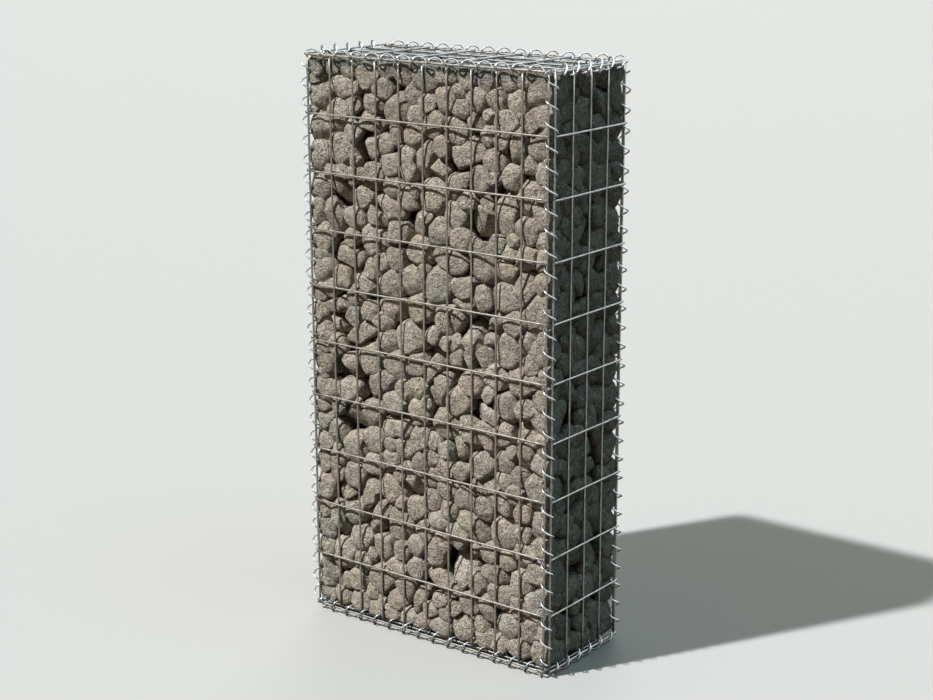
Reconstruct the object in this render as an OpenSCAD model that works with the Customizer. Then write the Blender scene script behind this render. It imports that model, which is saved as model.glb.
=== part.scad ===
// Free-standing gabion wall: a welded mesh basket, laced along every edge with wire coils and filled with stones.
// Millimetres, +Z up, front face towards -Y, origin on the ground under the middle of the wall.

/* [Mesh] */
// Spacing of the close-set line wires, centre to centre
line_spacing = 50; // [40:5:70]
// Spacing of the wide-set cross wires, centre to centre
cross_spacing = 100; // [80:5:150]
// Spaces between line wires across the front
front_cells = 10; // [6:1:20]
// Spaces between line wires across each side
side_cells = 4; // [3:1:8]
// Spaces between cross wires up the wall
rows = 10; // [4:1:14]
// Diameter of the mesh wire
wire_d = 3.5; // [3:0.1:4.5]
// How far two wires sink into each other at a weld
weld_depth = 0.25; // [0.1:0.05:0.5]
// Length of wire past the outermost crossing, from that wire's centre
wire_end = 2.5; // [2:0.1:3.5]

/* [Coils] */
// Outside diameter of the lacing coils
coil_d = 22; // [20:0.5:28]
// Diameter of the coil wire
coil_wire_d = 3; // [2.4:0.1:3.4]
// Coil turns in each row of the mesh
turns_per_row = 3; // [2:1:4]
// Gap between a coil and each edge wire that it binds
coil_gap = 0.3; // [0.2:0.05:0.6]

/* [Stones] */
// Gap between the stone fill and the wires around it
fill_gap = 0.3; // [0.2:0.1:2]

/* [Hidden] */

// Sides of a mesh wire, flats towards the layers it is welded to
wire_sides = 8;
// Points in one coil turn, and sides of the coil wire
coil_steps = 8;
coil_sides = 4;

// Outermost wire centres of the panels
width = front_cells * line_spacing;
depth = side_cells * line_spacing;
height = rows * cross_spacing;

// Distance between the two layers of wires in a panel
layer = wire_d * cos(180 / wire_sides) - weld_depth;
// Radius of a coil's centre line, and how far from its axis an edge wire seats
coil_r = (coil_d - coil_wire_d) / 2;
seat = coil_r * cos(180 / coil_steps) - coil_wire_d / 2 - wire_d / 2 - coil_gap;
coil_reach = coil_d / 2;
// How far each panel stands outside the edge wire of the panel beside it
step_out = min(seat * sqrt(2), sqrt(4 * seat * seat - layer * layer / 4) - layer);

// Planes of the line wires, from the middle of the wall
front_y = depth / 2 + step_out;
side_x = width / 2 + step_out;
lid_z = height / 2 - layer / 2;

// Axis of the coil round two wires p and q: both touch its inside, and it leans outwards, away from the wall
function coil_axis(p, q) =
    let (across = q - p, out = [-across[1], across[0]] / norm(across))
    (p + q) / 2 + out * sqrt(max(0, seat * seat - across * across / 4));

// Front right corner, as [x, y]: the side panel's edge wire and the front panel's
upright_axis = coil_axis([side_x, -depth / 2], [width / 2, -front_y]);
// Top front edge, as [-y, z]: the lid's front wire and the front panel's top wire
long_axis = coil_axis([depth / 2, lid_z], [front_y + layer, height / 2]);
// Top right edge, as [x, z]: the lid's end wire and the side panel's top wire
short_axis = coil_axis([width / 2, lid_z + layer], [side_x + layer, height / 2]);

// Height of the wall's middle above the lowest point of the coils
middle_z = max(long_axis[1], short_axis[1]) + coil_reach;

// Where each coil starts, as an angle and a share of one turn's rise: its turns then clear the wires they cross
upright_start = [45, 0.18];
long_start = [0, 0.72];
short_start = [90, 0.33];

// Length left free at the ends of the coils, where another coil passes
upright_trim = coil_d / 2 + coil_wire_d;
short_trim = coil_d / 2 + coil_wire_d / 2;

// Evenly spaced places, centred, over a number of spaces
function spread(spaces, spacing) = [for (i = [0 : spaces]) (i - spaces / 2) * spacing];

// Place a shape about the middle of the wall, turned half round about one axis
module placed(turn = [0, 0, 0]) {
    translate([0, 0, middle_z]) rotate(turn) children();
}

module bar(length) {
    rotate([0, 0, 180 / wire_sides]) cylinder(h = length, d = wire_d, $fn = wire_sides, center = true);
}

// Welded panel in its own XY plane: line wires along Y, cross wires along X on the outer side, +Z
module mesh_panel(line_at, cross_at) {
    line_length = max(cross_at) - min(cross_at) + 2 * wire_end;
    cross_length = max(line_at) - min(line_at) + 2 * wire_end;
    color([0.62, 0.64, 0.63]) {
        for (x = line_at) translate([x, 0, 0]) rotate([90, 0, 0]) bar(line_length);
        for (y = cross_at) translate([0, y, layer]) rotate([0, 90, 0]) bar(cross_length);
    }
}

module front_panel() {
    translate([0, -front_y, 0]) rotate([90, 0, 0])
        mesh_panel(spread(front_cells, line_spacing), spread(rows, cross_spacing));
}

module side_panel() {
    translate([side_x, 0, 0]) rotate([90, 0, 90])
        mesh_panel(spread(side_cells, line_spacing), spread(rows, cross_spacing));
}

module lid_panel() {
    spaces = max(1, round(width / cross_spacing));
    translate([0, 0, lid_z]) rotate([0, 0, -90])
        mesh_panel(spread(side_cells, line_spacing), spread(spaces, width / spaces));
}

// Corners of the wire's section at one point of a left-handed coil
function coil_ring(angle, z, lead) = [
    for (j = [0 : coil_sides - 1])
        let (u = cos(360 * j / coil_sides) * coil_wire_d / 2, v = sin(360 * j / coil_sides) * coil_wire_d / 2)
        [
            (coil_r + u) * cos(angle) - v * sin(lead) * sin(angle),
            (coil_r + u) * sin(angle) + v * sin(lead) * cos(angle),
            z + v * cos(lead)
        ]
];

// Left-handed coil about the Z axis, along an edge of the given length, centred, with its ends trimmed
module coil(edge, start, trim) {
    turns = round(edge * turns_per_row / cross_spacing);
    rise = edge / turns / coil_steps;
    lead = atan(rise * coil_steps / (2 * PI * coil_r));
    shift = start[1] * rise * coil_steps;
    first = ceil((trim - shift) / rise);
    last = floor((edge - trim - shift) / rise);
    rings = [
        for (i = [first : last])
            coil_ring(start[0] - i * 360 / coil_steps, shift + i * rise - edge / 2, lead)
    ];
    count = len(rings);
    s = coil_sides;
    walls = [
        for (i = [0 : count - 2], j = [0 : s - 1])
            let (a = i * s + j, b = i * s + (j + 1) % s)
            each [[a, b, b + s], [a, b + s, a + s]]
    ];
    near_end = [for (j = [1 : s - 2]) [0, j + 1, j]];
    far_end = [for (j = [1 : s - 2]) [0, j, j + 1] + (count - 1) * s * [1, 1, 1]];
    color([0.72, 0.74, 0.73])
        polyhedron([for (ring = rings) each ring], concat(walls, near_end, far_end));
}

module upright_coil() {
    translate([upright_axis[0], upright_axis[1], 0]) coil(height, upright_start, upright_trim);
}

module long_coil() {
    translate([0, -long_axis[0], long_axis[1]]) rotate([0, 90, 0]) coil(width, long_start, 0);
}

module short_coil() {
    translate([short_axis[0], 0, short_axis[1]]) rotate([-90, 0, 0]) coil(depth, short_start, short_trim);
}

// Room for the coils along the edges of the fill
module coil_room(length) {
    cylinder(h = length, r = coil_reach + fill_gap, center = true, $fn = 48);
}

module fill_block() {
    inset = wire_d / 2 + fill_gap;
    size = 2 * [side_x - inset, front_y - inset, lid_z - inset];
    color([0.62, 0.57, 0.5]) difference() {
        cube(size, center = true);
        for (x = [-1, 1], y = [-1, 1])
            translate([x * upright_axis[0], y * upright_axis[1], 0]) coil_room(2 * height);
        for (y = [-1, 1], z = [-1, 1])
            translate([0, y * long_axis[0], z * long_axis[1]]) rotate([0, 90, 0]) coil_room(2 * width);
        for (x = [-1, 1], z = [-1, 1])
            translate([x * short_axis[0], 0, z * short_axis[1]]) rotate([90, 0, 0]) coil_room(2 * depth);
    }
}

about_x = [180, 0, 0];
about_y = [0, 180, 0];
about_z = [0, 0, 180];

placed() front_panel();  // front_mesh
placed(about_z) front_panel();  // back_mesh
placed() side_panel();  // right_mesh
placed(about_z) side_panel();  // left_mesh
placed() lid_panel();  // lid_mesh
placed(about_x) lid_panel();  // base_mesh
placed() upright_coil();  // front_right_coil
placed(about_y) upright_coil();  // front_left_coil
placed(about_x) upright_coil();  // back_right_coil
placed(about_z) upright_coil();  // back_left_coil
placed() long_coil();  // top_front_coil
placed(about_z) long_coil();  // top_back_coil
placed(about_y) long_coil();  // bottom_front_coil
placed(about_x) long_coil();  // bottom_back_coil
placed() short_coil();  // top_right_coil
placed(about_z) short_coil();  // top_left_coil
placed(about_x) short_coil();  // bottom_right_coil
placed(about_y) short_coil();  // bottom_left_coil
placed() fill_block();  // stone_fill
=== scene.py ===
"""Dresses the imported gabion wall: round wires, lacing coils, single stones and a plain studio stage."""

import math

import bmesh
import bpy
import numpy as np
from bpy.props import FloatProperty, FloatVectorProperty, IntProperty, PointerProperty
from mathutils import Euler, Matrix, Vector


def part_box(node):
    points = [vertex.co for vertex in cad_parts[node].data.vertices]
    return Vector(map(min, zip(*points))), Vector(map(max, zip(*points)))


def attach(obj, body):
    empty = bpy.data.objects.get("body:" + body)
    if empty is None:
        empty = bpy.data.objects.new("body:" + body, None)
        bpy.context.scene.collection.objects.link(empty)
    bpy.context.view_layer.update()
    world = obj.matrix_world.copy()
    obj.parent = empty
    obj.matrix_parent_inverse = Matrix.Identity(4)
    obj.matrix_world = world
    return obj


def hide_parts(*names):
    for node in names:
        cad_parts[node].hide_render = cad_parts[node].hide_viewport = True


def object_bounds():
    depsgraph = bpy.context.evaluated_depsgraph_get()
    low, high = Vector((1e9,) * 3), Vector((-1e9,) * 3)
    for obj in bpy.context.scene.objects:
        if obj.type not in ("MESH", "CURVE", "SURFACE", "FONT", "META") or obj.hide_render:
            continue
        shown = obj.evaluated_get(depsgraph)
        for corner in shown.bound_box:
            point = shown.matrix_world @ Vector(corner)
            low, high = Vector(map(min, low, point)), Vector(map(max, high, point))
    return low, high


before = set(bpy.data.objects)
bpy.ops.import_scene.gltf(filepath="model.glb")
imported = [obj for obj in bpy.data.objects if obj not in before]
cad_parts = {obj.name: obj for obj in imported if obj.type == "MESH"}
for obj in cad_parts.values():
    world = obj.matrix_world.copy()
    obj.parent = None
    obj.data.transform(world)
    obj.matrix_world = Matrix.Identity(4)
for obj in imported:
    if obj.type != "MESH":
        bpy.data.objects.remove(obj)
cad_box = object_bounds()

bl_info = {
    "name": "Gabion Wall Dresser",
    "version": (1, 0, 0),
    "blender": (4, 5, 0),
    "location": "View3D > Sidebar > Gabion",
    "description": "Makes the wires, coils, stones and stage of a gabion wall around its packed solids",
    "category": "Object",
}

MM = 0.001
BODY = "root"

# Each welded panel: the inner face of its box, as an axis and which corner,
# and how the panel is turned from its own XY plane
QUARTER = math.radians(90)
TURN_X = Matrix.Rotation(QUARTER, 4, "X")
PANELS = {
    "front_mesh": (1, 1, TURN_X),
    "back_mesh": (1, 0, Matrix.Rotation(math.pi, 4, "Z") @ TURN_X),
    "right_mesh": (0, 0, Matrix.Rotation(QUARTER, 4, "Z") @ TURN_X),
    "left_mesh": (0, 1, Matrix.Rotation(-QUARTER, 4, "Z") @ TURN_X),
    "lid_mesh": (2, 0, Matrix.Rotation(-QUARTER, 4, "Z")),
    "base_mesh": (2, 1, Matrix.Rotation(math.pi, 4, "X") @ Matrix.Rotation(-QUARTER, 4, "Z")),
}

# Each coil: its kind, and the half turn about the wall's middle that places it
COILS = {
    "front_right_coil": ("upright", None),
    "front_left_coil": ("upright", "Y"),
    "back_right_coil": ("upright", "X"),
    "back_left_coil": ("upright", "Z"),
    "top_front_coil": ("long", None),
    "top_back_coil": ("long", "Z"),
    "bottom_front_coil": ("long", "Y"),
    "bottom_back_coil": ("long", "X"),
    "top_right_coil": ("short", None),
    "top_left_coil": ("short", "Z"),
    "bottom_right_coil": ("short", "X"),
    "bottom_left_coil": ("short", "Y"),
}
# Each kind of coil: the one that isn't turned, its start as an angle and a share of one turn,
# the length trimmed off its ends, how it lies, and the axis that it runs along
COIL_KINDS = {
    "upright": ("front_right_coil", 45, 0.18, 14 * MM, Matrix.Identity(4), 2),
    "long": ("top_front_coil", 0, 0.72, 0.0, Matrix.Rotation(QUARTER, 4, "Y"), 0),
    "short": ("top_right_coil", 90, 0.33, 12.5 * MM, Matrix.Rotation(-QUARTER, 4, "X"), 1),
}

# Sides of a mesh wire and pieces to a turn of a coil, in the solids
SOLID_WIRE_SIDES = 8
SOLID_COIL_STEPS = 8
# Sides and pieces of the round wires, and pieces to a turn of the round coils
BAR_SIDES = 12
BAR_PIECES = 24
COIL_SIDES = 10
COIL_STEPS = 24
# Weld beads: sides, rings, radius in radii of the wire, and how they are pressed flat
WELD_SIDES = 8
WELD_RINGS = 4
WELD_SWELL = 1.12
WELD_FORM = (1.15, 1.15, 0.8)

# Finish of the wires: how dull they are, and how much stone dust lies on them
MESH_DULL = 0.34
COIL_DULL = 0.24
MUCH_DUST = 0.45
LITTLE_DUST = 0.1
DUST_COLOUR = (0.30, 0.265, 0.21)

# Scale of each pattern, in waves to a metre
SWAY_SCALE = 7.0
SPANGLE_SCALE = 260.0
CHALK_SCALE = 55.0
FILM_SCALE = 22.0
ZINC_SKIN_SCALE = 700.0
CLOUD_SCALE = 38.0
MOTTLE_SCALE = 130.0
GRAIN_SCALE = 360.0
FLECK_SCALE = 520.0
STONE_SKIN_SCALE = 80.0

# Packing of the stones: shares of a radius, unless a comment says otherwise
SIZE_SPREAD = 0.27
QUOIN_INSET = (0.64, 0.8)
FACING_INSET = (0.84, 0.98)
ROW_DEPTH = 1.7
WEDGE_DEPTH = (0.5, 0.9)
WEDGE_OVERLAP = 0.93
# Share of an overlap that one round of settling takes away
EASE = 0.35
# Area of a disc and volume of a ball of radius 1
DISC = math.pi
BALL = 4.19
# Places that are tried for a wedged stone, and cells that can cut a stone
TRIES = 12000
NEIGHBOURS = 26
# Nearest cells that a cell can be joined with
PARTNERS = 5

# Cutting of the stones: gaps to a face, in radii, up to which a stone lies on it,
# lies along an edge, and has sharper edges
ON_FACE = 1.9
ON_EDGE = 1.5
SHARP_EDGE = 1.6
# How far a stone reaches past the plane that it shares with its neighbour, on a face and along an edge
LOCK = 2.4 * MM
EDGE_LOCK = 5.2 * MM
# How far a stone's own facets may look outwards, on a face and along an edge
OUTWARD = 0.8
EDGE_OUTWARD = 0.3
# A stone's own facets: how many, how stretched, and how deep; then the least depth of any cut, in radii
FACETS = (6, 12)
STRETCH = 0.14
FACET_DEPTH = (1.25, 2.0)
LEAST_DEPTH = 0.26
# How much sharper the sharpest stones are, and those along an edge
SHARPEST = 2.2
EDGE_SHARPER = 2.0
# How much closer a stone's points lie on the side that shows
LEAN = 0.45
# Span over which the two halves of a long stone blend, as a cosine
BLEND = 0.7
# Chips: how deep they cut, as shares of the reach, and how sharp their edges are
CHIP_DEPTH = (0.92, 0.99)
CHIP_EDGE = 30
# Depth of the swells and pits in a stone, as shares of its reach, and their waves: how many, and how fine
SWELL = (0.02, 0.06)
SWELL_WAVES = (7, 2.0, 6.0)
PIT = (0.015, 0.035)
PIT_WAVES = (14, 7.0, 15.0)

# Tone of the stones: spread of their brightness, and shifts of colour with their limit
TONE_SPREAD = 0.12
WARM_SHIFT = 0.026 * np.array((1.0, 0.0, -1.2))
ROSY_SHIFT = 0.011 * np.array((0.7, -0.7, 0.6))
SHIFT_LIMIT = 1.4
# Painted shade under the lid, darker and bluer as if shaded and lit by the sky: its full depth at the faces,
# how much deeper it goes inside, and its fade
LID_SHADE_DEPTH = 6 * MM
LID_SHADE_DEEPER = 20 * MM
LID_SHADE_FADE = 15 * MM

# Stage: half the floor's width, the share of its colour that lights the wall,
# and the widths of the camera's film and picture
FLOOR_REACH = 60.0
FLOOR_BOUNCE = 0.08
FILM_WIDTH = 36.0
PICTURE_WIDTH = 933.0
# Sky: the light from above and from the front, the two sides that metal mirrors, and what is seen
COOL_LIGHT = (0.60, 0.98, 1.08)
WARM_LIGHT = (1.14, 0.93, 0.60)
WARM_SIDE = (1.0, 0.88, 0.70)
COOL_SIDE = (0.88, 0.97, 1.03)
PALE_SKY = (1.0, 1.0, 0.985)


class Value:
    """A socket of a node tree; arithmetic on it adds Math nodes."""

    def __init__(self, net, socket):
        self.net = net
        self.socket = socket

    def math(self, operation, *values):
        return self.net.node("ShaderNodeMath", {"operation": operation}, dict(enumerate(values)))

    def __add__(self, other):
        return self.math("ADD", self, other)

    def __sub__(self, other):
        return self.math("SUBTRACT", self, other)

    def __rsub__(self, other):
        return self.math("SUBTRACT", other, self)

    def __mul__(self, other):
        return self.math("MULTIPLY", self, other)

    __radd__ = __add__
    __rmul__ = __mul__

    def step(self, low, high):
        """Smooth rise from 0 at low to 1 at high."""
        return self.net.node(
            "ShaderNodeMapRange", {"interpolation_type": "SMOOTHSTEP"},
            {0: self, 1: low, 2: high, 3: 0.0, 4: 1.0},
        )


class Net:
    """A node tree that is built from expressions."""

    def __init__(self, tree):
        self.tree = tree

    def node(self, kind, settings=None, inputs=None, output=0):
        """A new node with its settings and inputs; returns one of its outputs."""
        made = self.tree.nodes.new(kind)
        for name, value in (settings or {}).items():
            setattr(made, name, value)
        for name, value in (inputs or {}).items():
            self.feed(made.inputs[name], value)
        return Value(self, made.outputs[output])

    def feed(self, socket, value):
        """Links a value, or several, to a socket, or sets a constant on it."""
        if isinstance(value, Value):
            self.tree.links.new(value.socket, socket)
        elif isinstance(value, (list, tuple)) and value and isinstance(value[0], Value):
            for one in value:
                self.tree.links.new(one.socket, socket)
        elif socket.type == "RGBA":
            socket.default_value = (*value[:3], 1.0)
        else:
            socket.default_value = value

    def mix(self, share, a, b, blend="MIX"):
        """Colour a turned into colour b by a share."""
        return self.node(
            "ShaderNodeMix", {"data_type": "RGBA", "blend_type": blend, "clamp_factor": True},
            {0: share, 6: a, 7: b}, 2,
        )


def shader(name):
    """A new material with its net, its Principled node and Object coordinates."""
    made = bpy.data.materials.new(name)
    made.use_nodes = True
    net = Net(made.node_tree)
    principled = made.node_tree.nodes["Principled BSDF"]
    place = net.node("ShaderNodeTexCoord", output="Object")
    return made, net, principled, place


def noise(net, place, scale, detail=2.0, rough=0.5):
    """Noise at a place, from 0 to 1."""
    return net.node(
        "ShaderNodeTexNoise", None,
        {"Vector": place, "Scale": scale, "Detail": detail, "Roughness": rough},
    )


def wire_material(name, colour, dull, dust):
    """Hot-dip galvanised wire: spangled zinc with duller, chalky patches and a film of stone dust."""
    made, net, principled, place = shader(name)
    spangle = net.node("ShaderNodeTexVoronoi", None, {"Vector": place, "Scale": SPANGLE_SCALE}, "Color")
    spangle = net.node("ShaderNodeSeparateColor", None, {0: spangle}, 0)
    chalk = noise(net, place, CHALK_SCALE, 4.0, 0.6).step(0.46, 0.68)
    film = noise(net, place, FILM_SCALE, 3.0, 0.6).step(0.36, 0.66) * dust
    bright = [c * 1.18 for c in colour]
    dark = [c * 0.74 for c in colour]
    chalky = [min(1.0, c * 1.25) for c in colour]
    base = net.mix(spangle, dark, bright)
    base = net.mix(chalk * 0.55, base, chalky)
    base = net.mix(film, base, DUST_COLOUR)
    net.feed(principled.inputs["Base Color"], base)
    net.feed(principled.inputs["Metallic"], 0.92 - chalk * 0.5 - film * 0.42)
    net.feed(principled.inputs["Roughness"], dull + chalk * 0.22 + spangle * 0.1)
    skin = noise(net, place, ZINC_SKIN_SCALE, 3.0)
    bump = net.node("ShaderNodeBump", None, {"Strength": 0.25, "Distance": 0.4 * MM, "Height": skin})
    net.feed(principled.inputs["Normal"], bump)
    return made


def stone_material(name, sizes):
    """Weathered granite: each stone has its own tone, with fine dark and pale grains and a rough skin; near
    the lid a painted shade makes it darker and bluer.
    """
    made, net, principled, place = shader(name)
    tone = net.node("ShaderNodeAttribute", {"attribute_name": "stone_tone"}, output="Color")
    own = net.node("ShaderNodeAttribute", {"attribute_name": "stone_tone"}, output="Alpha")
    # Share of the painted shade under the lid, from 0 to 1
    cool = net.node("ShaderNodeAttribute", {"attribute_name": "under_lid"}, output="Fac")
    cloud = noise(net, place, CLOUD_SCALE, 5.0, 0.65)
    mottle = noise(net, place, MOTTLE_SCALE, 4.0, 0.7)
    grain = noise(net, place, GRAIN_SCALE, 2.0, 0.6)
    fleck = noise(net, place, FLECK_SCALE, 1.0, 0.5)
    base = net.mix(cloud.step(0.48, 0.70) * 0.4, tone, sizes.stain_colour)
    base = net.mix(mottle.step(0.50, 0.66) * (0.35 + own * 0.35), base, sizes.pale_grain)
    base = net.mix((1.0 - mottle.step(0.36, 0.50)) * 0.5, base, sizes.dark_grain)
    base = net.mix(fleck.step(0.54, 0.64) * (0.50 + own * 0.4), base, sizes.pale_grain)
    base = net.mix((1.0 - grain.step(0.38, 0.47)) * (0.62 + own * 0.36), base, sizes.dark_grain)
    # Painted shade: near the lid the colour is multiplied by a darker, bluer tint
    base = net.mix(cool, base, sizes.painted_lid_shade_colour, "MULTIPLY")
    net.feed(principled.inputs["Base Color"], base)
    net.feed(principled.inputs["Roughness"], 0.80 + cloud * 0.18)
    principled.inputs["Specular IOR Level"].default_value = 0.06
    height = noise(net, place, STONE_SKIN_SCALE, 6.0, 0.72) + mottle * 0.6 + grain * 0.25
    bump = net.node("ShaderNodeBump", None, {"Strength": 1.0, "Distance": 9 * MM, "Height": height})
    net.feed(principled.inputs["Normal"], bump)
    return made


def seen_ray(net):
    """1 on rays from the camera, also by way of metal, and 0 on rays that only carry light."""
    path = net.tree.nodes.new("ShaderNodeLightPath")
    labels = ("Is Camera Ray", "Is Glossy Ray", "Is Transmission Ray")
    camera, glossy, through = (Value(net, path.outputs[label]) for label in labels)
    return camera.math("MAXIMUM", camera, glossy.math("MAXIMUM", glossy, through))


def geometry_tree(name, inputs):
    """A new Geometry Nodes tree with named inputs; returns its net and the inputs as values."""
    tree = bpy.data.node_groups.new(name, "GeometryNodeTree")
    tree.interface.new_socket("Geometry", in_out="OUTPUT", socket_type="NodeSocketGeometry")
    for label, kind in inputs:
        tree.interface.new_socket(label, in_out="INPUT", socket_type="NodeSocket" + kind)
    net = Net(tree)
    group = tree.nodes.new("NodeGroupInput")
    return net, {label: Value(net, group.outputs[label]) for label, _ in inputs}


def close_tree(net, shape, material):
    """Realize Instances, Set Material and the tree's output."""
    solid = net.node("GeometryNodeRealizeInstances", None, {0: shape})
    dressed = net.node("GeometryNodeSetMaterial", None, {"Geometry": solid, "Material": material})
    out = net.tree.nodes.new("NodeGroupOutput")
    net.feed(out.inputs[0], dressed)


def vector(net, x=0.0, y=0.0, z=0.0):
    """A vector from numbers or values."""
    return net.node("ShaderNodeCombineXYZ", None, {0: x, 1: y, 2: z})


def welded_panel_tree():
    """Line wires along Y, cross wires along X one layer further out, and a weld at each crossing."""
    net, given = geometry_tree("welded_panel", [
        ("Line Wires", "Int"), ("Line Spacing", "Float"), ("Line Length", "Float"),
        ("Cross Wires", "Int"), ("Cross Spacing", "Float"), ("Cross Length", "Float"),
        ("Wire Radius", "Float"), ("Layer", "Float"), ("Sway", "Float"), ("Finish", "Material"),
    ])
    radius = given["Wire Radius"]
    layer = given["Layer"]
    half_width = (given["Line Wires"] - 1.0) * given["Line Spacing"] * 0.5
    half_length = (given["Cross Wires"] - 1.0) * given["Cross Spacing"] * 0.5

    def wires(count, start, offset, length, turn):
        points = net.node("GeometryNodeMeshLine", {"mode": "OFFSET"}, {
            "Count": count, "Start Location": start, "Offset": offset})
        bar = net.tree.nodes.new("GeometryNodeMeshCylinder")
        measures = {"Vertices": BAR_SIDES, "Side Segments": BAR_PIECES, "Radius": radius, "Depth": length}
        for label, value in measures.items():
            net.feed(bar.inputs[label], value)
        smooth = net.node("GeometryNodeSetShadeSmooth", None, {
            "Geometry": Value(net, bar.outputs["Mesh"]), "Selection": Value(net, bar.outputs["Side"])})
        laid = net.node("GeometryNodeTransform", None, {"Geometry": smooth, "Rotation": turn})
        return net.node("GeometryNodeInstanceOnPoints", None, {"Points": points, "Instance": laid})

    lines = wires(
        given["Line Wires"], vector(net, half_width * -1.0), vector(net, given["Line Spacing"]),
        given["Line Length"], Euler((QUARTER, 0, 0)),
    )
    crosses = wires(
        given["Cross Wires"], vector(net, 0.0, half_length * -1.0, layer),
        vector(net, 0.0, given["Cross Spacing"]), given["Cross Length"], Euler((0, QUARTER, 0)),
    )
    grid = net.node("GeometryNodeMeshGrid", None, {
        "Size X": half_width * 2.0, "Size Y": half_length * 2.0,
        "Vertices X": given["Line Wires"], "Vertices Y": given["Cross Wires"]})
    grid = net.node("GeometryNodeTransform", None, {
        "Geometry": grid, "Translation": vector(net, 0.0, 0.0, layer * 0.5)})
    bead = net.node("GeometryNodeMeshUVSphere", None, {
        "Segments": WELD_SIDES, "Rings": WELD_RINGS, "Radius": radius * WELD_SWELL})
    bead = net.node("GeometryNodeSetShadeSmooth", None, {"Geometry": bead})
    bead = net.node("GeometryNodeTransform", None, {"Geometry": bead, "Scale": WELD_FORM})
    welds = net.node("GeometryNodeInstanceOnPoints", None, {"Points": grid, "Instance": bead})
    joined = net.node("GeometryNodeJoinGeometry", None, {0: [lines, crosses, welds]})
    solid = net.node("GeometryNodeRealizeInstances", None, {0: joined})
    drift = net.node("ShaderNodeTexNoise", None, {
        "Vector": net.node("GeometryNodeInputPosition"), "Scale": SWAY_SCALE, "Detail": 1.0}, "Color")
    drift = net.node("ShaderNodeVectorMath", {"operation": "SUBTRACT"}, {0: drift, 1: (0.5, 0.5, 0.5)})
    drift = net.node("ShaderNodeVectorMath", {"operation": "SCALE"}, {0: drift, "Scale": given["Sway"]})
    bent = net.node("GeometryNodeSetPosition", None, {"Geometry": solid, "Offset": drift})
    close_tree(net, bent, given["Finish"])
    return net.tree


def lacing_coil_tree():
    """Left-handed helix of round wire rising from the origin along Z."""
    net, given = geometry_tree("lacing_coil", [
        ("Turns", "Float"), ("Rise", "Float"), ("Mean Radius", "Float"), ("Wire Radius", "Float"),
        ("Start Angle", "Float"), ("Finish", "Material"),
    ])
    path = net.node("GeometryNodeCurveSpiral", None, {
        "Resolution": COIL_STEPS, "Rotations": given["Turns"], "Start Radius": given["Mean Radius"],
        "End Radius": given["Mean Radius"], "Height": given["Rise"], "Reverse": False})
    path = net.node("GeometryNodeTransform", None, {
        "Geometry": path, "Rotation": vector(net, 0.0, 0.0, given["Start Angle"])})
    ring = net.node("GeometryNodeCurvePrimitiveCircle", {"mode": "RADIUS"}, {
        "Resolution": COIL_SIDES, "Radius": given["Wire Radius"]})
    wire = net.node("GeometryNodeCurveToMesh", None, {
        "Curve": path, "Profile Curve": ring, "Fill Caps": True})
    wire = net.node("GeometryNodeSetShadeSmooth", None, {"Geometry": wire})
    close_tree(net, wire, given["Finish"])
    return net.tree


def grow(name, tree, values, place):
    """Runs a tree with its inputs set, and returns a plain mesh object with its place in its mesh."""
    seed = bpy.data.objects.new(name + "_seed", bpy.data.meshes.new(name + "_seed"))
    bpy.context.scene.collection.objects.link(seed)
    modifier = seed.modifiers.new("shape", "NODES")
    modifier.node_group = tree
    sockets = {s.name: s.identifier for s in tree.interface.items_tree if s.in_out == "INPUT"}
    for label, value in values.items():
        modifier[sockets[label]] = value
    graph = bpy.context.evaluated_depsgraph_get()
    mesh = bpy.data.meshes.new_from_object(seed.evaluated_get(graph))
    seed.modifiers.remove(modifier)
    bpy.data.objects.remove(seed)
    mesh.transform(place)
    mesh.name = name
    made = bpy.data.objects.new(name, mesh)
    bpy.context.scene.collection.objects.link(made)
    return made


def stand_for(piece, slot, *nodes):
    """Puts a piece on the wall's body, in the place of the nodes that it shows."""
    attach(piece, BODY)
    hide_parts(*nodes)


def sphere_net(cuts):
    """Unit directions and triangles of an icosahedron with each face cut into rows."""
    ball = bmesh.new()
    bmesh.ops.create_icosphere(ball, subdivisions=1, radius=1.0)
    points, faces = [], []
    for face in ball.faces:
        a, b, c = (v.co for v in face.verts)
        at = {}
        for i in range(cuts + 1):
            for j in range(cuts + 1 - i):
                at[i, j] = len(points)
                points.append(a + (b - a) * (i / cuts) + (c - a) * (j / cuts))
        for i, j in at:
            if i + j < cuts:
                faces.append((at[i, j], at[i + 1, j], at[i, j + 1]))
            if i + j < cuts - 1:
                faces.append((at[i + 1, j], at[i + 1, j + 1], at[i, j + 1]))
    ball.free()
    points = np.array(points)
    points /= np.linalg.norm(points, axis=1)[:, None]
    _, first, same = np.unique(np.round(points, 6), axis=0, return_index=True, return_inverse=True)
    return points[first], same.reshape(-1)[np.array(faces)]


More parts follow.
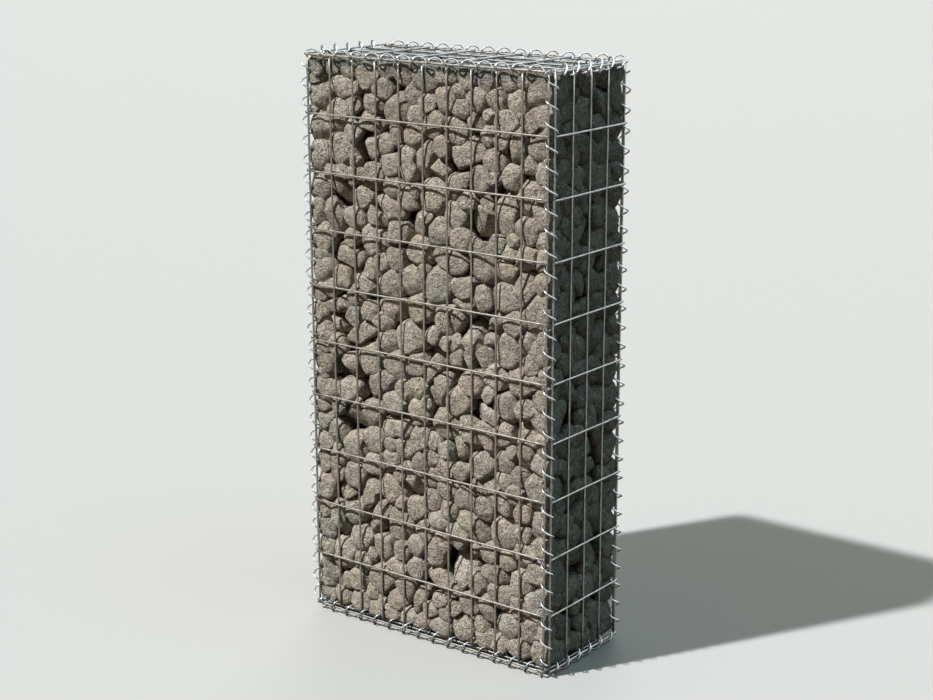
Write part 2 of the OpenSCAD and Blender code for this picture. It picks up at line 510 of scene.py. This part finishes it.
def settle(low, high, sizes, rng):
    """Radii and centres of the stones: quoins along the edges, a close facing, then the fill inside."""
    quoins, corners = lay_quoins(low, high, sizes, rng)
    inner = high - low - 4 * sizes.middle_radius
    faces = np.array([inner[1] * inner[2], inner[0] * inner[2], inner[0] * inner[1]])
    radii = np.r_[quoins, draw_radii(2 * faces.sum() * sizes.facing, DISC, 2, sizes, rng)]
    fixed, count = len(quoins), len(radii)
    rows = np.arange(fixed, count)
    inset = (radii[rows] * rng.uniform(*FACING_INSET, len(rows)))[:, None]
    start = low + rng.random((len(rows), 3)) * (high - low)
    normal = rng.choice(3, len(rows), p=faces / faces.sum())
    start[rows - fixed, normal] = np.where(rng.random(len(rows)) < 0.5, low[normal], high[normal])
    centres = np.vstack([corners, start])
    for _ in range(sizes.settling):
        moved = np.clip(push_apart(centres, radii)[fixed:], low + inset, high - inset)
        gaps = np.c_[moved - low - inset, high - inset - moved]
        side = gaps.argmin(1)
        moved[rows - fixed, side % 3] += np.where(side < 3, -1.0, 1.0) * gaps[rows - fixed, side]
        centres[fixed:] = moved
    depth = ROW_DEPTH * sizes.middle_radius
    core = draw_radii(np.prod(high - low - 2 * depth) * sizes.packing, BALL, 3, sizes, rng)
    radii = np.r_[radii, core]
    centres = np.vstack([centres, low + depth + rng.random((len(core), 3)) * (high - low - 2 * depth)])
    for _ in range(sizes.settling // 3):
        centres[count:] = np.clip(push_apart(centres, radii)[count:], low + depth, high - depth)
    return fill_gaps(low, high, radii, centres, sizes, rng)


def lay_quoins(low, high, sizes, rng):
    """A row of stones along each edge of the box, end to end; the upright rows take the corners."""
    radii, centres = [], []
    for along in range(3):
        ends = (low[along], high[along])
        if along != 2:
            ends = (ends[0] + ROW_DEPTH * sizes.middle_radius, ends[1] - ROW_DEPTH * sizes.middle_radius)
        across = [axis for axis in range(3) if axis != along]
        for corner in ((0, 0), (0, 1), (1, 0), (1, 1)):
            row = draw_radii(ends[1] - ends[0], 2.0, 1, sizes, rng)
            row *= (ends[1] - ends[0]) / (2 * row.sum())
            place = ends[0]
            for radius in row:
                centre = np.empty(3)
                centre[along] = place + radius
                for axis, far in zip(across, corner):
                    inset = radius * rng.uniform(*QUOIN_INSET)
                    centre[axis] = high[axis] - inset if far else low[axis] + inset
                place += 2 * radius
                radii.append(radius)
                centres.append(centre)
    return np.array(radii), np.array(centres)


def draw_radii(room, factor, power, sizes, rng):
    """Random stone sizes until their lengths, discs or balls fill the room."""
    radii = []
    while room > 0:
        radius = rng.lognormal(math.log(sizes.middle_radius), SIZE_SPREAD)
        radius = np.clip(radius, sizes.small_radius, sizes.large_radius)
        radii.append(radius)
        room -= factor * radius**power
    return np.array(radii)


def push_apart(centres, radii):
    """Moves each ball a little out of those that it overlaps."""
    apart = centres[:, None, :] - centres[None, :, :]
    distance = np.sqrt((apart**2).sum(2)) + 1e-9
    np.fill_diagonal(distance, 9.0)
    overlap = np.maximum(0.0, radii[:, None] + radii[None, :] - distance) / distance * EASE
    return centres + (apart * overlap[:, :, None]).sum(1)


def fill_gaps(low, high, radii, centres, sizes, rng):
    """Wedges small stones into the widest gaps, first along the edges of the packing, then on its faces."""
    rows = np.arange(TRIES)
    for walls, least in ((2, sizes.chip_radius), (1, sizes.wedge_radius)):
        tries = low + rng.random((len(rows), 3)) * (high - low)
        first = rng.integers(0, 3, len(rows))
        for turn in range(walls):
            axis = (first + turn) % 3
            depth = rng.uniform(*WEDGE_DEPTH, len(rows)) * sizes.small_radius
            near_low = rng.random(len(rows)) < 0.5
            tries[rows, axis] = np.where(near_low, low[axis] + depth, high[axis] - depth)
        room = np.full(len(rows), sizes.small_radius)
        for centre, radius in zip(centres, radii):
            room = np.minimum(room, np.linalg.norm(tries - centre, axis=1) - radius * WEDGE_OVERLAP)
        small, places = [], []
        while room.max() > least:
            best = int(room.argmax())
            small.append(room[best])
            places.append(tries[best])
            room = np.minimum(room, np.linalg.norm(tries - tries[best], axis=1) - room[best])
        radii = np.r_[radii, small]
        centres = np.vstack([centres, *places])
    return radii, centres


def stone_radius(ways, planes, roundness):
    """How far a stone reaches each way: its planes meet in rounded edges."""
    share = np.maximum(0.0, ways @ planes[:, :3].T / planes[:, 3])
    return (share**roundness).sum(1) ** (-1.0 / roundness)


def chisel(ways, reach, rng, chips):
    """Breaks flat chips off a stone, so that it has facets."""
    struck = rng.choice(len(ways), chips, replace=False)
    depth = reach[struck] * rng.uniform(*CHIP_DEPTH, chips)
    share = np.maximum(0.0, ways @ ways[struck].T / depth)
    return ((1.0 / reach)**CHIP_EDGE + (share**CHIP_EDGE).sum(1)) ** (-1.0 / CHIP_EDGE)


def lumps(ways, rng, count, low, high):
    """Smooth random relief over the sphere, from 0 to 1, of so many waves from low to high."""
    waves = rng.normal(size=(count, 3))
    waves *= (rng.uniform(low, high, count) / np.linalg.norm(waves, axis=1))[:, None]
    relief = np.cos(ways @ waves.T + rng.uniform(0, 2 * math.pi, count)).sum(1)
    return 0.5 + 0.5 * np.tanh(relief / math.sqrt(count))


class BasketSizes(bpy.types.PropertyGroup):
    """Sizes and finish of the wire basket."""

    line_spacing: FloatProperty(
        name="Line spacing", description="Spacing of the close-set wires", default=0.05, unit="LENGTH")
    cross_spacing: FloatProperty(
        name="Cross spacing", description="Spacing of the wide-set wires", default=0.1, unit="LENGTH")
    wire_diameter: FloatProperty(
        name="Wire diameter", description="Diameter of the mesh wire",
        default=0.0035, unit="LENGTH", precision=4)
    wire_end: FloatProperty(
        name="Wire end", description="Wire past the outermost crossing",
        default=0.0025, unit="LENGTH", precision=4)
    layer: FloatProperty(
        name="Layer", description="Distance between the two layers of wires",
        default=0.0029836, unit="LENGTH", precision=5)
    sway: FloatProperty(
        name="Sway", description="How far the wires wander from straight",
        default=0.0016, unit="LENGTH", precision=4)
    coil_diameter: FloatProperty(
        name="Coil diameter", description="Outside diameter of the lacing coils",
        default=0.022, unit="LENGTH")
    coil_wire: FloatProperty(
        name="Coil wire", description="Diameter of the coil wire",
        default=0.003, unit="LENGTH", precision=4)
    turns_per_row: IntProperty(
        name="Turns per row", description="Coil turns in each row of the mesh", default=3)
    # Partly painted reflection: the front and back zinc is tinted warm brown to stand for warm ground
    # mirrored in it; its stone dust comes on top
    face_colour: FloatVectorProperty(
        name="Face colour", description="Weathered zinc of the front and back panels",
        default=(0.25, 0.240, 0.222), subtype="COLOR")
    end_colour: FloatVectorProperty(
        name="End colour", description="Cleaner zinc of the end panels",
        default=(0.222, 0.226, 0.213), subtype="COLOR")
    # Painted reflection: the lid and base zinc is tinted bluer to stand for the sky mirrored in the lid's
    # wires
    lid_colour: FloatVectorProperty(
        name="Lid colour", description="Cleaner, cooler zinc of the lid and base",
        default=(0.210, 0.224, 0.236), subtype="COLOR")
    coil_colour: FloatVectorProperty(
        name="Coil colour", description="Brighter zinc of the coils",
        default=(0.34, 0.35, 0.35), subtype="COLOR")


class StoneSizes(bpy.types.PropertyGroup):
    """Sizes and tones of the stones."""

    small_radius: FloatProperty(
        name="Small stones", description="Radius of the smallest stones",
        default=0.0135, unit="LENGTH", precision=4)
    wedge_radius: FloatProperty(
        name="Wedged stones", description="Radius of the least stones in the gaps",
        default=0.0075, unit="LENGTH", precision=4)
    chip_radius: FloatProperty(
        name="Chips in edges", description="Radius of the least stones along the edges",
        default=0.005, unit="LENGTH", precision=4)
    middle_radius: FloatProperty(
        name="Usual stones", description="Radius of the usual stones",
        default=0.0215, unit="LENGTH", precision=4)
    large_radius: FloatProperty(
        name="Large stones", description="Radius of the largest stones",
        default=0.036, unit="LENGTH", precision=4)
    facing: FloatProperty(
        name="Facing", description="Share of the faces that the facing stones' discs cover",
        default=1.12, subtype="FACTOR")
    packing: FloatProperty(
        name="Packing", description="Share of the basket that the stones' inner balls fill",
        default=0.66, subtype="FACTOR")
    settling: IntProperty(
        name="Settling", description="Rounds of pushing the stones apart", default=90)
    seed: IntProperty(
        name="Seed", description="Start of the random numbers", default=7)
    long_share: FloatProperty(
        name="Long stones", description="How often two cells make one long stone",
        default=0.3, subtype="FACTOR")
    longest: FloatProperty(
        name="Longest stone", description="Length of the longest stones", default=0.092, unit="LENGTH")
    roundness: FloatProperty(
        name="Edges", description="How sharp the stones' edges are, from 5 for pebbles to 30 for rubble",
        default=11.5)
    chips: IntProperty(
        name="Chips", description="Flat chips broken off each stone", default=16)
    bulge: FloatProperty(
        name="Bulge", description="How hard the stones are pressed against the mesh",
        default=0.0008, unit="LENGTH", precision=4)
    edge_room: FloatProperty(
        name="Edge room", description="How far the stones stay behind the axis of each edge coil",
        default=0.0005, unit="LENGTH", precision=4)
    stone_colour: FloatVectorProperty(
        name="Stone", description="Usual colour of the stones",
        default=(0.40, 0.36, 0.30), subtype="COLOR")
    # Painted shade: the darker, bluer tint multiplied into the stones near the lid
    painted_lid_shade_colour: FloatVectorProperty(
        name="Sky tint", description="Cooler, greyer tone of the stones under the lid",
        default=(0.62, 0.66, 0.71), subtype="COLOR")
    stain_colour: FloatVectorProperty(
        name="Stain", description="Brownish clouds on the stones",
        default=(0.27, 0.235, 0.19), subtype="COLOR")
    pale_grain: FloatVectorProperty(
        name="Pale grain", description="Feldspar flecks", default=(0.66, 0.61, 0.53), subtype="COLOR")
    dark_grain: FloatVectorProperty(
        name="Dark grain", description="Mica flecks", default=(0.13, 0.12, 0.10), subtype="COLOR")


class StageLook(bpy.types.PropertyGroup):
    """Floor, light and camera."""

    floor_colour: FloatVectorProperty(
        name="Floor", description="Colour of the floor", default=(0.39, 0.39, 0.388), subtype="COLOR")
    key_strength: FloatProperty(
        name="Key light", description="Strength of the main light", default=5.55)
    rim_strength: FloatProperty(
        name="Rim light", description="Power of the light that picks out the wires from behind",
        default=7.0, unit="POWER")
    fill_strength: FloatProperty(
        name="Fill light", description="Strength of the soft light behind the wall", default=2.0)
    sky_strength: FloatProperty(
        name="Sky light", description="Strength of the soft light from all sides", default=0.09)
    camera_place: FloatVectorProperty(
        name="Camera", description="Where the camera stands",
        default=(1.81546, -2.37188, 1.29708), subtype="TRANSLATION")
    camera_turn: FloatVectorProperty(
        name="Camera turn", description="Tilt, roll and bearing of the camera",
        default=(math.radians(75.197), math.radians(0.106), math.radians(37.282)), subtype="EULER")
    focal_pixels: FloatProperty(
        name="Focal length", description="Focal length in pixels of a picture 933 wide", default=1778.9)


class GABION_OT_mesh_panels(bpy.types.Operator):
    """Make the six welded mesh panels of round wire"""

    bl_idname = "gabion.mesh_panels"
    bl_label = "Mesh Panels"

    def execute(self, context):
        sizes = context.scene.gabion_basket
        # Front and back: much stone dust, on zinc tinted brown as a painted reflection of warm ground
        face_dust_sheen_finish = wire_material("face_mesh_wire_dust_and_warm_sheen", sizes.face_colour, MESH_DULL, MUCH_DUST)
        clean = wire_material("clean_mesh_wire", sizes.end_colour, MESH_DULL, LITTLE_DUST)
        # Lid and base: little dust, on zinc tinted bluer as a painted sky reflection
        cool = wire_material("cool_mesh_wire", sizes.lid_colour, MESH_DULL, LITTLE_DUST)
        tree = welded_panel_tree()
        flat = sizes.wire_diameter / 2 * math.cos(math.pi / SOLID_WIRE_SIDES)
        for node, (axis, inner, turn) in PANELS.items():
            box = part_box(node)
            middle = (box[0] + box[1]) / 2
            outward = 1 if inner == 0 else -1
            middle[axis] = box[inner][axis] + outward * flat
            size = turn.to_3x3().inverted() @ (box[1] - box[0])
            across, along = (abs(size[i]) - 2 * sizes.wire_end for i in (0, 1))
            line_spaces = round(across / sizes.line_spacing)
            cross_spaces = round(along / sizes.cross_spacing)
            panel = grow("welded_" + node, tree, {
                "Line Wires": line_spaces + 1, "Line Spacing": across / line_spaces,
                "Line Length": along + 2 * sizes.wire_end,
                "Cross Wires": cross_spaces + 1, "Cross Spacing": along / cross_spaces,
                "Cross Length": across + 2 * sizes.wire_end,
                "Wire Radius": sizes.wire_diameter / 2, "Layer": sizes.layer, "Sway": sizes.sway,
                "Finish": (clean, face_dust_sheen_finish, cool)[axis],
            }, Matrix.Translation(middle) @ turn)
            stand_for(panel, "mesh_wire", node)
        return {"FINISHED"}


class GABION_OT_lacing_coils(bpy.types.Operator):
    """Make the twelve lacing coils along the edges"""

    bl_idname = "gabion.lacing_coils"
    bl_label = "Lacing Coils"

    def execute(self, context):
        sizes = context.scene.gabion_basket
        finish = wire_material("galvanised_coil_wire", sizes.coil_colour, COIL_DULL, LITTLE_DUST)
        tree = lacing_coil_tree()
        mean = (sizes.coil_diameter - sizes.coil_wire) / 2
        low, high = cad_box
        wall_middle = (low + high) / 2
        front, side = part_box("front_mesh"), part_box("right_mesh")
        edges = (front[1].x - front[0].x, side[1].y - side[0].y, front[1].z - front[0].z)
        for node, (kind, half_turn) in COILS.items():
            plain, angle, share, trim, lay, along = COIL_KINDS[kind]
            edge = edges[along] - 2 * sizes.wire_end
            turns = round(edge * sizes.turns_per_row / sizes.cross_spacing)
            rise = edge / turns / SOLID_COIL_STEPS
            shift = share * rise * SOLID_COIL_STEPS
            first = math.ceil((trim - shift) / rise - 1e-6)
            last = math.floor((edge - trim - shift) / rise + 1e-6)
            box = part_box(plain)
            axis = (box[0] + box[1]) / 2 - wall_middle
            axis[along] = 0.0
            start = Matrix.Translation((0, 0, shift + first * rise - edge / 2))
            place = Matrix.Translation(axis) @ lay @ start
            if half_turn:
                place = Matrix.Rotation(math.pi, 4, half_turn) @ place
            coil = grow("lacing_" + node, tree, {
                "Turns": (last - first) / SOLID_COIL_STEPS, "Rise": (last - first) * rise,
                "Mean Radius": mean, "Wire Radius": sizes.coil_wire / 2,
                "Start Angle": math.radians(angle - first * 360 / SOLID_COIL_STEPS), "Finish": finish,
            }, Matrix.Translation(wall_middle) @ place)
            stand_for(coil, "coil_wire", node)
        return {"FINISHED"}


class GABION_OT_stones(bpy.types.Operator):
    """Fill the basket with single stones, packed against the mesh"""

    bl_idname = "gabion.stones"
    bl_label = "Stones"

    FACES = ("right", "back", "top", "left", "front", "bottom")
    CUTS = {"front": 7, "right": 6, "back": 6, "left": 6, "top": 6, "bottom": 4, "inner": 2}

    def execute(self, context):
        sizes = context.scene.gabion_stones
        rng = np.random.default_rng(sizes.seed)
        low, high = (np.array(corner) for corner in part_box("stone_fill"))
        radii, centres = settle(low, high, sizes, rng)
        walls = self.walls(low - sizes.bulge, high + sizes.bulge, sizes.edge_room)
        far = ((centres[:, None, :] - centres[None, :, :])**2).sum(2)
        near = np.argsort(far, axis=1)[:, 1:NEIGHBOURS + 1]
        nets = {name: sphere_net(cuts) for name, cuts in self.CUTS.items()}
        groups = {}
        gaps = np.minimum(centres - low, high - centres)
        quoin = (gaps < ON_EDGE * radii[:, None]).sum(1) > 1
        for lumped in self.pair_up(radii, centres, near, quoin, sizes, rng):
            i, j = lumped[0], lumped[-1]
            middle, size = centres[i], radii[i]
            if i != j:
                towards = centres[j] - centres[i]
                apart = np.linalg.norm(towards)
                middle = centres[i] + towards * (0.5 + (radii[i]**2 - radii[j]**2) / (2 * apart**2))
                size = (radii[i] + radii[j]) / 2
            gap = np.r_[high - middle, middle - low]
            side = int(np.argmin(gap))
            name = self.FACES[side] if gap[side] < size * ON_FACE else "inner"
            ways, faces = nets[name]
            if name != "inner":
                ways = ways + LEAN * np.r_[np.eye(3), -np.eye(3)][side]
                ways /= np.linalg.norm(ways, axis=1)[:, None]
            sharp = rng.uniform(sizes.roundness, sizes.roundness * SHARPEST)
            if (gap < SHARP_EDGE * size).sum() > 1:
                sharp *= EDGE_SHARPER
            reach = [
                stone_radius(ways, self.planes(k, lumped, middle, radii, centres, near[k], walls, rng), sharp)
                for k in lumped
            ]
            if i != j:
                share = np.clip(ways @ (towards / apart) / BLEND + 0.5, 0.0, 1.0)
                share = share * share * (3 - 2 * share)
                reach = [reach[0] * (1 - share) + reach[1] * share]
            reach = reach[0] * (1.0 - rng.uniform(*SWELL) * lumps(ways, rng, *SWELL_WAVES))
            reach = chisel(ways, reach, rng, sizes.chips)
            reach *= 1.0 - rng.uniform(*PIT) * lumps(ways, rng, *PIT_WAVES)
            points = np.clip(middle + ways * reach[:, None], low, high)
            tone = np.array(sizes.stone_colour) * np.exp(rng.normal(0.0, TONE_SPREAD))
            warm, rosy = np.clip(rng.normal(0.0, 1.0, 2), -SHIFT_LIMIT, SHIFT_LIMIT)
            tone = tone * (1.0 + warm * WARM_SHIFT) * (1.0 + rosy * ROSY_SHIFT)
            if name in ("front", "back"):
                name += "_upper" if middle[2] > (low + high)[2] / 2 else "_lower"
            groups.setdefault(name, []).append((points, faces, (*tone, rng.random())))
        finish = stone_material("weathered_granite", sizes)
        for name in sorted(groups):
            self.lay(name + "_stones", groups[name], finish)
        return {"FINISHED"}

    def pair_up(self, radii, centres, near, quoin, sizes, rng):
        """Joins some neighbouring cells, so that long and crooked stones lie among the round ones."""
        free = ~quoin
        stones = [[i] for i in np.flatnonzero(quoin)]
        for i in rng.permutation(len(radii)):
            if not free[i]:
                continue
            free[i] = False
            stone = [i]
            if rng.random() < sizes.long_share:
                for j in near[i][:PARTNERS]:
                    span = np.linalg.norm(centres[j] - centres[i]) + radii[i] + radii[j]
                    if free[j] and span < sizes.longest:
                        free[j] = False
                        stone.append(j)
                        break
            stones.append(stone)
        return stones

    def planes(self, k, lumped, middle, radii, centres, near, walls, rng):
        """Planes round one cell, as directions and distances from the stone's middle."""
        others = np.array([n for n in near if n not in lumped])
        towards = centres[others] - centres[k]
        distance = np.linalg.norm(towards, axis=1)
        ways = towards / distance[:, None]
        facets = rng.normal(size=(rng.integers(*FACETS), 3))
        facets /= np.linalg.norm(facets, axis=1)[:, None]
        close = walls[:6][walls[:6, 3] - walls[:6, :3] @ centres[k] < ON_EDGE * radii[k]]
        lock, most = (LOCK, OUTWARD) if len(close) < 2 else (EDGE_LOCK, EDGE_OUTWARD)
        cut = (distance**2 + radii[k]**2 - radii[others]**2) / (2 * distance) + lock
        facets = facets[facets @ close[:, :3].sum(0) < most]
        stretch = np.exp(rng.normal(0.0, STRETCH, 3))
        turn = np.linalg.qr(rng.normal(size=(3, 3)))[0]
        own = np.linalg.norm((facets @ turn) * stretch, axis=1) * radii[k]
        own = own * rng.uniform(*FACET_DEPTH, len(facets))
        all_ways = np.vstack([walls[:, :3], ways, facets])
        offset = np.r_[walls[:, 3], cut + ways @ centres[k], own + facets @ centres[k]]
        return np.c_[all_ways, np.maximum(offset - all_ways @ middle, LEAST_DEPTH * radii[k])]

    def walls(self, low, high, clear):
        """Planes that the stones stay behind: the six faces of the fill, and a slope behind each coil."""
        planes = [np.c_[np.eye(3), high], np.c_[-np.eye(3), -low]]
        middle = (low + high) / 2
        for node, (kind, _) in COILS.items():
            *_, along = COIL_KINDS[kind]
            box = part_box(node)
            axis = (np.array(box[0]) + np.array(box[1])) / 2
            out = np.sign(axis - middle)
            out[along] = 0.0
            out /= np.linalg.norm(out)
            planes.append(np.r_[out, out @ axis - clear][None, :])
        return np.vstack(planes)

    def lay(self, name, stones, finish):
        """One mesh from many stones, each with its own tone, and a painted shade, darker and bluer, under the
        lid.
        """
        points, faces, tones, count = [], [], [], 0
        for shape, net, tone in stones:
            points.append(shape)
            faces.append(net + count)
            tones.append(np.tile(tone, (len(shape), 1)))
            count += len(shape)
        places = np.vstack(points)
        mesh = bpy.data.meshes.new(name)
        mesh.from_pydata(places.tolist(), [], np.vstack(faces).tolist())
        colour = mesh.attributes.new("stone_tone", "FLOAT_COLOR", "POINT")
        colour.data.foreach_set("color", np.vstack(tones).astype(np.float32).ravel())
        # Painted shade: 1 just under the lid, reaching deeper away from the faces, then fading to 0 further
        # down
        low, high = (np.array(corner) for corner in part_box("stone_fill"))
        inside = np.minimum(places - low, high - places)[:, :2].min(1)
        reach = LID_SHADE_DEPTH + np.minimum(inside, LID_SHADE_DEEPER)
        under_lid = np.clip((reach - (high - places)[:, 2]) / LID_SHADE_FADE + 1.0, 0.0, 1.0)
        shade = mesh.attributes.new("under_lid", "FLOAT", "POINT")
        shade.data.foreach_set("value", under_lid.astype(np.float32))
        mesh.shade_smooth()
        mesh.materials.append(finish)
        piece = bpy.data.objects.new(name, mesh)
        bpy.context.scene.collection.objects.link(piece)
        stand_for(piece, "stone", "stone_fill")


class GABION_OT_stage(bpy.types.Operator):
    """Make the floor, the light and the camera"""

    bl_idname = "gabion.stage"
    bl_label = "Stage"

    def execute(self, context):
        scene = context.scene
        look = scene.gabion_stage
        scene.view_settings.view_transform = "Standard"
        self.lay_floor(scene, look)
        self.hang_lamps(scene, look)
        self.make_sky(scene, look)
        self.stand_camera(scene, look)
        return {"FINISHED"}

    def lay_floor(self, scene, look):
        """A wide pale floor that throws little light back onto the wall."""
        far = FLOOR_REACH
        mesh = bpy.data.meshes.new("floor")
        mesh.from_pydata([(-far, -far, 0), (far, -far, 0), (far, far, 0), (-far, far, 0)], [], [(0, 1, 2, 3)])
        floor = bpy.data.objects.new("floor", mesh)
        scene.collection.objects.link(floor)
        made, net, principled, _ = shader("plain_floor")
        dim = [c * FLOOR_BOUNCE for c in look.floor_colour]
        net.feed(principled.inputs["Base Color"], net.mix(seen_ray(net), dim, look.floor_colour))
        principled.inputs["Roughness"].default_value = 0.9
        principled.inputs["Specular IOR Level"].default_value = 0.05
        mesh.materials.append(made)

    def hang_lamp(self, scene, name, kind, strength, colour, shines):
        """A new lamp that shines in a direction; returns its object."""
        light = bpy.data.lights.new(name, kind)
        light.energy = strength
        light.color = colour
        lamp = bpy.data.objects.new(name, light)
        lamp.rotation_euler = Vector(shines).to_track_quat("-Z", "Y").to_euler()
        scene.collection.objects.link(lamp)
        return lamp

    def hang_lamps(self, scene, look):
        """A sun from the front left, a strip that only glints on the wires, and a soft sun from behind."""
        key = self.hang_lamp(
            scene, "key", "SUN", look.key_strength, colour=(0.995, 1.0, 0.995), shines=(0.30, 0.54, -0.79))
        key.data.angle = math.radians(1.8)
        rim = self.hang_lamp(
            scene, "rim", "AREA", look.rim_strength, colour=(0.9, 0.97, 1.0), shines=(-2.6, -1.9, -1.35))
        rim.location = (2.6, 1.9, 1.9)
        rim.data.shape = "RECTANGLE"
        rim.data.size = 0.8
        rim.data.size_y = 1.6
        rim.visible_diffuse = False
        fill = self.hang_lamp(
            scene, "fill", "SUN", look.fill_strength, colour=(1.0, 0.98, 0.95), shines=(0.5, -0.8, -0.33))
        fill.data.angle = math.radians(40)
        fill.visible_glossy = False

    def make_sky(self, scene, look):
        """Pale to the camera and to metal; on the wall, a cool light from above and a warm one in front."""
        world = bpy.data.worlds.new("soft_sky")
        world.use_nodes = True
        scene.world = world
        sky = Net(world.node_tree)
        seen = seen_ray(sky)
        background = world.node_tree.nodes["Background"]
        way = sky.node("ShaderNodeTexCoord", output="Generated")

        def facing(direction, low, high):
            likeness = sky.node(
                "ShaderNodeVectorMath", {"operation": "DOT_PRODUCT"}, {0: way, 1: direction}, "Value")
            return likeness.step(low, high)

        bright = facing((0.45, 0.60, 0.66), -0.4, 0.9)
        above = facing((0.42, 0.0, 0.91), 0.88, 1.0)
        before = facing((-0.78, -0.55, 0.30), 0.0, 1.0)
        mirrored = Value(sky, world.node_tree.nodes["Light Path"].outputs["Is Glossy Ray"])
        shown = 0.85 + mirrored * (bright * 3.0 - 0.63)
        soft = look.sky_strength * (0.03 + above * 21.5 + before * 4.2)
        sky.feed(background.inputs["Strength"], soft + seen * (shown - soft))
        tint = sky.mix(bright, WARM_SIDE, COOL_SIDE)
        tint = sky.mix(mirrored, PALE_SKY, tint)
        light = sky.mix(before.step(0.0, 0.2), COOL_LIGHT, WARM_LIGHT)
        sky.feed(background.inputs["Color"], sky.mix(seen, light, tint))

    def stand_camera(self, scene, look):
        """The camera at the photograph's viewing angle."""
        camera = bpy.data.cameras.new("camera")
        camera.sensor_width = FILM_WIDTH
        camera.lens = FILM_WIDTH * look.focal_pixels / PICTURE_WIDTH
        camera.clip_end = 200.0
        eye = bpy.data.objects.new("camera", camera)
        eye.location = look.camera_place
        eye.rotation_euler = look.camera_turn
        scene.collection.objects.link(eye)
        scene.camera = eye


class GABION_PT_sidebar(bpy.types.Panel):
    """Sizes of the wall, and the steps that make it"""

    bl_idname = "GABION_PT_sidebar"
    bl_label = "Gabion Wall"
    bl_space_type = "VIEW_3D"
    bl_region_type = "UI"
    bl_category = "Gabion"

    def draw(self, context):
        for step, group in STEPS:
            box = self.layout.box()
            box.operator(step.bl_idname)
            settings = getattr(context.scene, group)
            for label in settings.__annotations__:
                box.prop(settings, label)


STEPS = (
    (GABION_OT_mesh_panels, "gabion_basket"),
    (GABION_OT_lacing_coils, "gabion_basket"),
    (GABION_OT_stones, "gabion_stones"),
    (GABION_OT_stage, "gabion_stage"),
)
GROUPS = {"gabion_basket": BasketSizes, "gabion_stones": StoneSizes, "gabion_stage": StageLook}
CLASSES = (*GROUPS.values(), *(step for step, _ in STEPS), GABION_PT_sidebar)


def register():
    for made in CLASSES:
        bpy.utils.register_class(made)
    for label, group in GROUPS.items():
        setattr(bpy.types.Scene, label, PointerProperty(type=group))


def unregister():
    for label in GROUPS:
        delattr(bpy.types.Scene, label)
    for made in reversed(CLASSES):
        bpy.utils.unregister_class(made)


def main():
    register()
    bpy.ops.gabion.stage()
    bpy.ops.gabion.mesh_panels()
    bpy.ops.gabion.lacing_coils()
    bpy.ops.gabion.stones()


if __name__ == "__main__":
    main()
